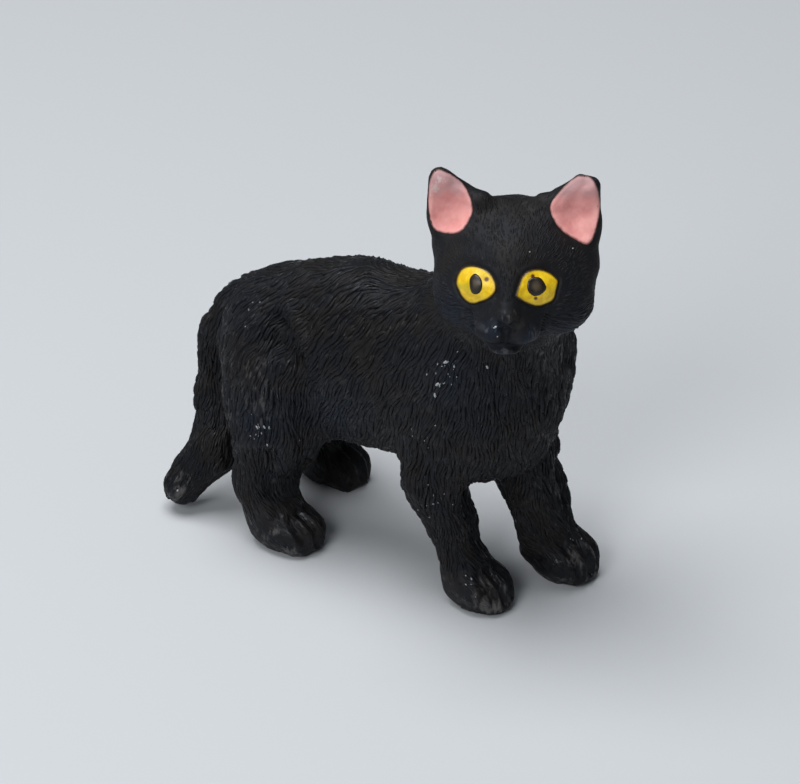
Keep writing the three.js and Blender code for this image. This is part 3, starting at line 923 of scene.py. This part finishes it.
def mark_paint(mesh):
    """Writes on each point of a mesh its wear and painted highlights, its painted bluish reflection and how
    matt it is.
    """
    points = points_of(mesh)
    ear_tips = ear_mask(points) * ramp(to_head(points)[:, 2], 8.2, 9.6)
    marks = {
        "wear_and_highlight": np.maximum(near_any(points, WEAR_AND_HIGHLIGHTS), EARS_WORN * ear_tips),
        "painted_blue_reflection": near_any(points, PAINTED_BLUE_REFLECTIONS),
        "matt": HEAD_MATT * head_mask(points),
    }
    for name, values in marks.items():
        mesh.attributes.new(name, "FLOAT", "POINT").data.foreach_set("value", values)


mark_paint(skin.data)
print("worn places:", len(WEAR_AND_HIGHLIGHTS))

# %% Satin black acrylic
AREA = 3.5 * MM  # browner and blacker areas, as thick as the brush left them
DAB = 0.42 * MM  # dabs of a stiff brush
SCUFF = 0.4 * MM  # width of one scuff mark, drawn out upwards
WEAR_AND_HIGHLIGHT_GAIN = 1.25  # how strongly the worn places and the painted highlights count

black, tree, shader = new_material("satin_black_acrylic", IOR=1.49, Specular_IOR_Level=0.29,
                                   Specular_Tint=linear("#E6EBF3"))
place = add_node(tree, "TexCoord", out="Object")
areas = add_node(tree, "TexNoise", {"Vector": place, "Scale": 1 / AREA, "Detail": 3, "Roughness": 0.55})
colour = tint(tree, "#0E0E11", "#171413", areas, 0.42, 0.62)

dabs = add_node(tree, "TexNoise", {"Vector": place, "Scale": 1 / DAB, **FINE})
span = {"Value": dabs, "From Min": 0.35, "From Max": 0.6, "To Min": 0.35}
share = add_node(tree, "MapRange", span, interpolation_type="SMOOTHSTEP")
# painted reflection: a bluish tint laid on the black at the listed places
painted_blue_reflection = add_node(tree, "Attribute", out="Fac", attribute_name="painted_blue_reflection")
share = add_node(tree, "Math", {0: painted_blue_reflection, 1: share}, operation="MULTIPLY")
colour = add_node(tree, "Mix", {0: share, 6: colour, 7: "#151D2A"}, out=2, data_type="RGBA")

drawn = add_node(tree, "Mapping", {"Vector": place, "Scale": (1, 1, 0.3)})
scuffs = add_node(tree, "TexNoise", {"Vector": drawn, "Scale": 1 / SCUFF, **FINE})
span = {"Value": scuffs, "From Min": 0.25, "From Max": 0.75}
scuffs = add_node(tree, "MapRange", span, interpolation_type="SMOOTHSTEP")
wear_and_highlight = add_node(tree, "Attribute", out="Fac", attribute_name="wear_and_highlight")
wear_and_highlight = add_node(tree, "Math", {0: wear_and_highlight, 1: WEAR_AND_HIGHLIGHT_GAIN}, operation="MULTIPLY")
wear_and_highlight_share = add_node(tree, "Math", {0: wear_and_highlight, 1: scuffs}, operation="SUBTRACT")
# grey of worn paint; on the nose, the muzzle pads and the lower lip the same grey is a painted highlight
colour = tint(tree, colour, "#5E5C5B", wear_and_highlight_share, -0.2, 0.6, 0, 0.7)
print("nodes for the black's colour:", len(tree.nodes))

# %% Gloss and grain of the black
PORE = 0.16 * MM  # grain of the sprayed paint, drawn coarser than its real 0.05 mm so that it shows
FLECK = 0.7 * MM  # places where the paint dried glossier

flecks = add_node(tree, "TexNoise", {"Vector": place, "Scale": 1 / FLECK, **FINE})
span = {"Value": flecks, "From Min": 0.5, "From Max": 0.62, "To Min": 0.58, "To Max": 0.3}
gloss = add_node(tree, "MapRange", span, interpolation_type="SMOOTHSTEP")
matt = add_node(tree, "Attribute", out="Fac", attribute_name="matt")
roughness = add_node(tree, "Math", {0: gloss, 1: matt}, operation="MAXIMUM")
pores = add_node(tree, "TexNoise", {"Vector": place, "Scale": 1 / PORE, **FINE})
grain = add_node(tree, "Math", {0: pores, 1: 0.35, 2: dabs}, operation="MULTIPLY_ADD")
relief = add_node(tree, "Bump", {"Height": grain, "Distance": 0.05 * MM})
tree.links.new(roughness, shader.inputs["Roughness"])
give_paint(black, shader, colour, relief, [skin])

# %% [markdown]
# ## The carved fur
# The fur is thousands of short raised strokes. Each one is a closed spindle, half sunk in the skin and
# pointed at both ends. It starts at a root, and goes a few steps over the skin in the direction that the
# fur lies there. Guides say that direction: back along the spine, back and down over the flanks, down the
# legs, and away from the nose.

# %% Directions of the fur
GUIDES = [  # x, y, z, then the direction; the kitten's right side, and its left side mirrors it
    (8, 0, 29, -1, 0, -0.1), (0, 0, 30.5, -1, 0, -0.05), (-8, 0, 29.5, -1, 0, -0.25),
    (-14, 0, 27, -0.85, 0, -0.5), (-17.5, 0, 23, -0.4, 0, -0.9), (5, -2.2, 29.2, -0.4, -0.7, -0.35),
    (-3, -2.2, 30, -0.4, -0.7, -0.35), (-10, -2.2, 28.6, -0.45, -0.6, -0.5), (5, -5, 28, -0.4, -0.5, -0.75),
    (-3, -5, 28, -0.4, -0.5, -0.75), (-10, -5, 27, -0.45, -0.45, -0.8), (6, -7, 23, -0.42, 0, -0.9),
    (-1, -7, 22, -0.45, 0, -0.85), (-5, -7, 20, -0.4, 0, -0.9), (1, -5.5, 15, -0.35, 0.1, -0.9),
    (-4, -5, 14, -0.35, 0, -0.9), (0, 0, 12, -1, 0, 0), (6, 0, 12.5, -0.9, 0, -0.1),
    (9, -7, 22, -0.3, 0, -0.95), (10, -6.5, 17, -0.1, 0, -1), (17, -1, 25, 0, 0, -1),
    (16.5, -3, 19, 0, 0, -1), (14, -5, 24, -0.1, 0, -1), (9, -5, 29, -0.35, -0.2, -0.9),
    (4, 0, 31, -0.85, 0, -0.5), (16, -2, 29, 0.1, 0, -1), (-12, -7, 24, -0.5, -0.2, -0.85),
    (-12, -8.5, 18, -0.1, 0, -1), (-16, -6, 18, -0.2, 0, -0.95), (-8, -7, 17, 0.05, 0, -1),
    (-12, -8, 12, 0, 0, -1), (-13, -6.5, 8, 0.1, 0, -1), (8, -6, 12, 0.15, 0, -1), (9.5, -4, 7, 0.2, 0, -1),
    (13, -3.5, 2.5, 0.9, 0, -0.5), (-8, -6, 2.5, 0.9, 0, -0.5), (-18.8, -1, 17.5, -0.1, -0.1, -1),
    (-19.3, -2, 11.5, 0.1, -0.2, -1), (-18.5, -3.8, 7, -0.1, -0.5, -0.8),
    (-20.3, -6.5, 2.6, -0.3, -0.5, -0.7),
]
GUIDE_AT = np.array([g[:3] for g in GUIDES], float)
GUIDE_WAY = np.array([g[3:] for g in GUIDES], float)
NOSE_TIP = from_head((8.2, 0.2, -1.5))
SWAY = 0.16  # radians by which the locks wave from side to side
WAVES = [((1.9, 1.2, 0.7), 0), ((-0.8, 1.6, 1.7), 2)]  # radians per mm along x, y and z, and a shift


def along_skin(ways, normals):
    """Directions turned to lie along the skin, one unit long."""
    flat = ways - normals * (ways * normals).sum(1, keepdims=True)
    return flat / np.maximum(np.linalg.norm(flat, axis=1, keepdims=True), 1e-6)


def fur_way(points, normals):
    """The direction in which the fur lies at points on the skin."""
    left = np.sign(points[:, 1:2])
    folded = points * np.column_stack((np.ones(len(points)), -left[:, 0], np.ones(len(points))))
    gaps = ((folded[:, None, :] - GUIDE_AT[None]) ** 2).sum(2)
    weights = 1 / (gaps + 0.5) ** 2
    ways = weights @ GUIDE_WAY / weights.sum(1, keepdims=True)
    ways[:, 1] *= -left[:, 0]
    away = points - NOSE_TIP
    away /= np.linalg.norm(away, axis=1, keepdims=True)
    share = head_mask(points)[:, None]
    ways = along_skin(ways * (1 - share) + away * share, normals)
    sway = SWAY * sum(np.sin(points @ wave + shift) for wave, shift in WAVES)[:, None]
    return ways * np.cos(sway) + np.cross(normals, ways) * np.sin(sway)


flank = fur_way(np.array([(-1.0, -7.0, 22.0)]), np.array([(0.0, -1.0, 0.0)]))[0]
print("on the right flank the fur lies along", flank.round(2))

# %% Where the toy is smooth
SMOOTH_ROUND = (  # places, outlines, how far out they are smooth, and how near in mm
    (EYE_PLACE, EYE_EDGE, 1.22, 2.5),
    (EAR_PLACE, EAR_EDGE, 1.12, EAR_NEAR),
)


def bare_mask(points):
    """1 where the toy is smooth: inside the ears, round the eyes, on the nose and mouth, under the paws."""
    bare = 1 - ramp(points[:, 2], 0.7, 1.3)
    p = to_head(points)
    front = ramp(p[:, 0], 4.6, 5.6) * head_mask(points)
    snout = 1 - ramp(np.hypot(p[:, 1] - NOSE_SIDE, (p[:, 2] + 3.2) * 1.1), 2.6, 3.4)
    bare = np.maximum(bare, front * snout)
    for side in SIDES:
        for places, edges, grow, near in SMOOTH_ROUND:
            out = part_way(points, places[side], edges[side])
            towards = paint_plane(points, places[side])[2]
            bare = np.where((np.abs(towards) < near) & (out < grow), 1, bare)
    return bare


def paw_top(points):
    """1 on the paws up to the wrists, where hardly any fur is carved."""
    return (1 - ramp(points[:, 2], 4.2, 6.2)) * (1 - tail_mask(points))


print("bare share of the skin's points:", round(float(bare_mask(points_of(skin.data)).mean()), 2))

# %% Height and size of the strokes


def fur_relief(points):
    """How much of their height the strokes keep: all on the sides, less on the spine, head and paws."""
    p = to_head(points)
    smooth = np.maximum(0.85 * ramp(p[:, 2], -3.5, 0.5), 0.4) * head_mask(points)
    spine = 0.4 * np.exp(-((points[:, 1] / 2.4) ** 2)) * ramp(points[:, 2], 24, 27) * (1 - head_mask(points))
    return 1 - np.maximum.reduce((smooth, spine, 0.6 * paw_top(points)))


def fur_size(points):
    """How big the strokes are: 1 on the body, smaller on the legs, the head and the paws."""
    p = to_head(points)
    head = head_mask(points)
    cheek = head * (1 - ramp(p[:, 2], -2.5, 1.5)) * ramp(np.abs(p[:, 1]), 2.5, 4.5)
    size = 1 - 0.25 * (1 - ramp(points[:, 2], 8, 14)) - 0.2 * tail_mask(points)
    size = size * (1 - head) + head * (0.42 + 0.3 * cheek)
    return np.minimum(size, 1 - 0.5 * paw_mask(points))


print("mean size of the strokes:", round(float(fur_size(points_of(skin.data)).mean()), 2))

# %% Try random places
DARTS = 130000  # random places that are tried
SEED = 7

rng = np.random.default_rng(SEED)


def random_places(mesh, count):
    """Random points spread evenly over a mesh of triangles, with their normals."""
    corners = read(mesh.polygons, "vertices", 3, int)
    a, b, c = (points_of(mesh)[corners[:, i]] for i in range(3))
    cross = np.cross(b - a, c - a)
    area = np.linalg.norm(cross, axis=1)
    chosen = rng.choice(len(area), count, p=area / area.sum())
    u, v = rng.random((2, count, 1))
    u, v = np.where(u + v > 1, 1 - u, u), np.where(u + v > 1, 1 - v, v)
    places = a[chosen] + u * (b - a)[chosen] + v * (c - a)[chosen]
    return places, cross[chosen] / area[chosen, None], area.sum() / 2


places, place_normals, skin_area = random_places(skin.data, DARTS)
print("skin area in square mm:", round(skin_area))

# %% Leave places out where there is little fur
SMOOTH = [  # x, y, z of a place with hardly any strokes, and its radius in mm; the other side is the same
    (-8.6, -6.4, 23.2, 1.3), (-8.2, -8.4, 9.4, 1.8), (-8.4, -7.6, 7.6, 1.6), (-20.2, -8.2, 3.2, 1.5),
]
CROWN_SPARSE = 0.6  # share of the places that are left out on the forehead and the crown
PAWS_SPARSE = 0.93  # and on the paws

sparse = CROWN_SPARSE * head_mask(places) * ramp(to_head(places)[:, 2], -1.5, 2.0)
sparse = np.maximum(sparse, PAWS_SPARSE * paw_top(places))
for mirror in (1, -1):
    sparse = np.maximum(sparse, near_any(places * (1, mirror, 1), SMOOTH))
furry = rng.random(DARTS) > np.maximum(bare_mask(places) * 1.01, sparse)
places, place_normals = places[furry], place_normals[furry]
print("places with fur:", len(places))

# %% Keep the roots apart
SPREAD = {"along": 0.9, "across": 0.25}  # mm between roots, for a stroke of size 1
OTHER_SIDE = 0.8  # mm; a root that is deeper than this lies on another part of the skin


def thin_out(places, ways, normals, sizes):
    """Keeps places that are far enough apart: further along the fur than across it."""
    across = np.cross(normals, ways)
    cell = SPREAD["along"]
    kept, grid = [], {}
    for i, (x, y, z) in enumerate(places.tolist()):
        key = (int(x // cell), int(y // cell), int(z // cell))
        around = [j for dx in (-1, 0, 1) for dy in (-1, 0, 1) for dz in (-1, 0, 1)
                  for j in grid.get((key[0] + dx, key[1] + dy, key[2] + dz), ())]
        if around:
            gap = places[around] - places[i]
            far = np.hypot(gap @ ways[i] / SPREAD["along"], gap @ across[i] / SPREAD["across"])
            deep = np.abs(gap @ normals[i]) > OTHER_SIDE
            if np.any((far < sizes[i]) & ~deep):
                continue
        grid.setdefault(key, []).append(i)
        kept.append(i)
    return np.array(kept)


sizes = fur_size(places)
kept = thin_out(places, fur_way(places, place_normals), place_normals, sizes)
places, sizes = places[kept], sizes[kept]
print("strokes:", len(places))

# %% The shape and the length of the strokes
STROKE = {"length": 1.75, "width": 0.42, "height": 0.18, "tip": 0.07}  # mm, for a stroke of size 1
BOLD_SHARE, BOLD = 0.14, 1.35  # so many strokes are so much longer, wider and higher
CURL = 0.35  # radians by which a stroke bends, give or take
AROUND_STROKE, RINGS = 5, 5

bm = bmesh.new()
bmesh.ops.create_uvsphere(bm, u_segments=AROUND_STROKE, v_segments=RINGS, radius=1, calc_uvs=False)
spindle = mesh_of(bm, "spindle")
shape = points_of(spindle) * MM
order = np.round((1 - shape[:, 2]) / 2, 6)
stations = np.unique(order)  # parts of the way from the root, 0, to the tip, 1
ring_of = np.searchsorted(stations, order)

lengths = STROKE["length"] * sizes * rng.uniform(0.8, 1.25, len(places))
curl = rng.normal(0, CURL, len(places))
bold = np.where(rng.random(len(places)) < BOLD_SHARE, BOLD, 1.0)
lengths *= bold
print("triangles in one stroke:", sum(len(face.vertices) - 2 for face in spindle.polygons))
print("mean length of a stroke in mm:", round(float(lengths.mean()), 2))

# %% Lay the strokes over the skin
FIRST_TURN = 0.12  # radians by which a stroke turns aside at its root, give or take
LOWEST = 0.35  # mm above the floor; no stroke goes lower


def step_over_skin(places, ways, steps):
    """Goes one step from places over the skin, and gives the new places and normals there."""
    hits = [skin_top.find_nearest(target)[:2] for target in (places + ways * steps[:, None]) * MM]
    spots, normals = (np.array(x) for x in zip(*hits))
    return spots / MM, normals


path = []
spot, normal = step_over_skin(places, np.zeros_like(places), np.zeros(len(places)))
for i, station in enumerate(stations):
    way = fur_way(spot, normal)
    turn = (curl * (station - 0.5) + FIRST_TURN * rng.normal(size=len(spot)) * (i == 0))[:, None]
    way = along_skin(way * np.cos(turn) + np.cross(normal, way) * np.sin(turn), normal)
    path.append((spot, normal, way))
    if i < len(stations) - 1:
        spot, normal = step_over_skin(spot, way, lengths * (stations[i + 1] - station))
path_places, path_normals, path_ways = (np.stack(x, 1) for x in zip(*path))
path_sides = np.cross(path_normals, path_ways)
ends_in_fur = bare_mask(path_places[:, -1]) < 0.5
whole = (path_places[:, :, 2].min(1) > LOWEST) & ends_in_fur
print("stations along a stroke:", len(stations), "whole strokes:", int(whole.sum()))

# %% [markdown]
# ## A map for the coat
# Each stroke needs its own little patch on a flat map of the whole skin, so that colours can be baked to
# it. Unfolding thousands of strokes one by one would leave a patchwork. So a light copy of the skin is
# unfolded by its own shape, and each stroke's patch lies where its root is on that map.

# %% Unfold a light copy of the skin
MAP_FACES = 6000
MAP_GAP = 0.004  # between the islands, as a share of the map's width
SHARPEST = math.radians(66)  # a sharper edge parts two islands

pattern = add_object("pattern", skin.data.copy())
fewer = pattern.modifiers.new("fewer faces", "DECIMATE")
fewer.ratio = MAP_FACES / len(pattern.data.polygons)
settle(pattern)
bpy.context.view_layer.objects.active = pattern
pattern.select_set(True)
bpy.ops.object.mode_set(mode="EDIT")
bpy.ops.mesh.select_all(action="SELECT")
bpy.ops.uv.smart_project(angle_limit=SHARPEST, island_margin=MAP_GAP)
bpy.ops.object.mode_set(mode="OBJECT")

pattern_tree = BVHTree.FromObject(pattern, bpy.context.evaluated_depsgraph_get())
flat_map = pattern.data.uv_layers.active.data
root_uv = np.empty((len(places), 2))
for i, root in enumerate(path_places[:, 0] * MM):
    spot, _, index, _ = pattern_tree.find_nearest(root)
    face = pattern.data.polygons[index]
    shares = poly_3d_calc([pattern.data.vertices[v].co for v in face.vertices], spot)
    corners = np.array([flat_map[loop].uv for loop in face.loop_indices])
    root_uv[i] = np.array(shares) @ corners
bpy.data.objects.remove(pattern)
print("map runs from", root_uv.min(0).round(2), "to", root_uv.max(0).round(2))

# %% Points of the strokes
SUNK = {"all along": 0.12, "at the root": 0.3, "where it is low": 0.35}  # shares of a stroke's height


def stroke_points(chosen):
    """The points of the chosen strokes, in millimetres."""
    s = stations[ring_of]
    width = sizes[chosen] * bold[chosen] * rng.uniform(0.85, 1.2, len(chosen))
    width = STROKE["width"] / 2 * width[:, None] * (1.12 - 0.4 * s)
    height = sizes[chosen] * bold[chosen] * np.clip(rng.gamma(5, 0.2, len(chosen)), 0.5, 1.6)
    relief = fur_relief(places[chosen])[:, None]
    height = STROKE["height"] * height[:, None] * relief
    rise = STROKE["tip"] / STROKE["height"] * s**2 - SUNK["at the root"] * (1 - s) ** 2
    rise = height * (rise - SUNK["all along"] - SUNK["where it is low"] * (1 - relief))
    rise = shape[:, 1] * height + rise
    middle = path_places[chosen][:, ring_of]
    return (middle + path_sides[chosen][:, ring_of] * (shape[:, 0] * width)[..., None]
            + path_normals[chosen][:, ring_of] * rise[..., None])


on_left = places[:, 1] > 0
on_the_head = head_mask(places) > 0.5
on_the_tail = tail_mask(places) > 0.5
on_the_legs = (places[:, 2] < 13) & ~on_the_tail
on_the_body = ~(on_the_head | on_the_tail | on_the_legs)
regions = {
    "coat_right": on_the_body & ~on_left,
    "coat_left": on_the_body & on_left,
    "coat_head": on_the_head,
    "coat_forelegs": on_the_legs & (places[:, 0] > 0),
    "coat_hindlegs": on_the_legs & (places[:, 0] <= 0),
    "coat_tail": on_the_tail,
}
print("strokes on the head:", int((on_the_head & whole).sum()))

# %% Join the strokes into pieces of the coat
PATCH = 0.003  # width of one stroke's patch, as a share of the map's width


def coat_piece(name, chosen):
    """One mesh of the chosen strokes."""
    count = len(chosen)
    every = np.arange(count)[:, None]
    loops = read(spindle.loops, "vertex_index", 1, int)[:, 0]
    starts = read(spindle.polygons, "loop_start", 1, int)[:, 0]
    mesh = bpy.data.meshes.new(name)
    mesh.vertices.add(count * len(shape))
    mesh.vertices.foreach_set("co", (stroke_points(chosen) * MM).ravel())
    mesh.loops.add(count * len(loops))
    mesh.loops.foreach_set("vertex_index", (loops + every * len(shape)).ravel())
    mesh.polygons.add(count * len(starts))
    mesh.polygons.foreach_set("loop_start", (starts + every * len(loops)).ravel())
    mesh.update(calc_edges=True)
    own_uv = np.column_stack((shape[:, 0], stations[ring_of] * 2 - 1))[loops] / 2 * PATCH
    patches = mesh.uv_layers.new(name="OFBake")
    patches.data.foreach_set("uv", (root_uv[chosen][:, None] + own_uv).ravel())
    piece = add_object(name, mesh)
    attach(piece, "root")
    mark_paint(mesh)
    mesh.materials.append(black)
    mesh.shade_smooth()
    print(name, "strokes:", count, "faces:", len(mesh.polygons))


for name, where in regions.items():
    coat_piece(name, np.nonzero(where & whole)[0])

# %% [markdown]
# ## Painted glints
# Small pale domes on the tips of the fur, mostly on the chest and the hocks, are painted highlights: their
# whitish grey stands in for glints of light on glossy fur tips. Most of them lie in sprays, so a few large
# ones have set places and the fine ones are drawn at random round the middle of a spray. Each one is a low
# dome, drawn out along the fur. Domes catch the light from every side, which flat dots would not.

# %% Where the glint drops lie
DROPS = [  # x, y, z of a drop, and its radius in mm
    (10.8, -6.8, 27.4, 0.2), (11.6, -6.8, 27.3, 0.16), (14.5, -5.7, 27.6, 0.18), (11.8, -6.5, 28.7, 0.12),
    (9.9, -7.3, 23.8, 0.2), (10.1, -7.3, 25.0, 0.2), (10.4, -7.2, 25.0, 0.16), (-8.8, -8.5, 14.4, 0.17),
    (-8.3, -8.3, 14.4, 0.13), (-9.4, -8.8, 14.2, 0.13), (-8.3, -8.6, 12.7, 0.16), (-6.0, -6.4, 12.7, 0.1),
    (18.1, -4.5, 40.1, 0.09), (20.1, -0.7, 39.4, 0.08), (17.9, -9.4, 34.7, 0.13), (18.0, -9.3, 33.8, 0.09),
    (-19.7, -8.1, 3.1, 0.13),
]
SPRAYS = [  # x, y, z of the middle of a spray of fine drops, its radius in mm, and how many
    (10.4, -7.2, 25.5, 1.8, 14), (9.6, -6.6, 12.0, 2.0, 16), (8.6, -7.2, 18.0, 2.2, 8),
    (-9.3, -8.8, 14.0, 1.4, 10), (12.6, -5.4, 4.0, 1.2, 6), (-13.6, -6.9, 25.0, 1.8, 6),
    (-9.3, 8.8, 14.0, 1.4, 8), (9.8, 7.2, 23.5, 2.0, 8), (16.9, 4.9, 5.0, 1.0, 5),
]
FINE_DROP = (0.05, 0.09)  # mm, least and greatest radius

for x, y, z, radius, count in SPRAYS:
    for offset in rng.normal(0, radius / 2, (count, 3)):
        DROPS.append((x + offset[0], y + offset[1], z + offset[2], rng.uniform(*FINE_DROP)))
print("drops:", len(DROPS))

# %% Shape the drops
DRAWN_OUT = (1.0, 1.7)  # length of a drop along the fur, in radii
DROP_SIZE = (0.7, 0.5)  # its half width and its half height, in radii
ON_TIPS = 0.10  # mm that the drops sit above the skin, on the tips of the strokes

bm = bmesh.new()
for x, y, z, radius in DROPS:
    spot, normal, _, _ = skin_top.find_nearest(Vector((x, y, z)) * MM)
    place, up = np.array([spot]) / MM, np.array([normal])
    up_way = Vector(up[0])
    way = Vector(fur_way(place, up)[0])
    way.rotate(Quaternion(up[0], rng.normal(0, 0.4)))
    turn = Matrix((way, up_way.cross(way), up_way)).transposed().to_4x4()
    size = [radius * MM * share for share in (rng.uniform(*DRAWN_OUT), *DROP_SIZE)]
    dome = Matrix.Translation(spot + up_way * ON_TIPS * MM) @ turn @ Matrix.Diagonal((*size, 1))
    bmesh.ops.create_icosphere(bm, subdivisions=2 if radius > 0.1 else 1, radius=1, matrix=dome)
drops = add_object("painted_glint_drops", mesh_of(bm, "painted_glint_drops"))
drops.data.shade_smooth()
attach(drops, "root")
print("faces of the drops:", len(drops.data.polygons))

# %% Pale paint that stands in for glints
CLOUD = 0.15 * MM  # paler and greyer places inside a drop

# painted highlight: the domes' whitish grey stands in for glints of light on glossy fur tips
glint_white, tree, shader = new_material("painted_glint_white", Roughness=0.25, IOR=1.5)
place = add_node(tree, "TexCoord", out="Object")
clouds = add_node(tree, "TexNoise", {"Vector": place, "Scale": 1 / CLOUD, **FINE})
colour = tint(tree, "#8B8F94", "#ACAFB1", clouds, 0.35, 0.65)
tree.links.new(colour, shader.inputs["Base Color"])
drops.data.materials.append(glint_white)
print(glint_white.name, "nodes:", len(tree.nodes))
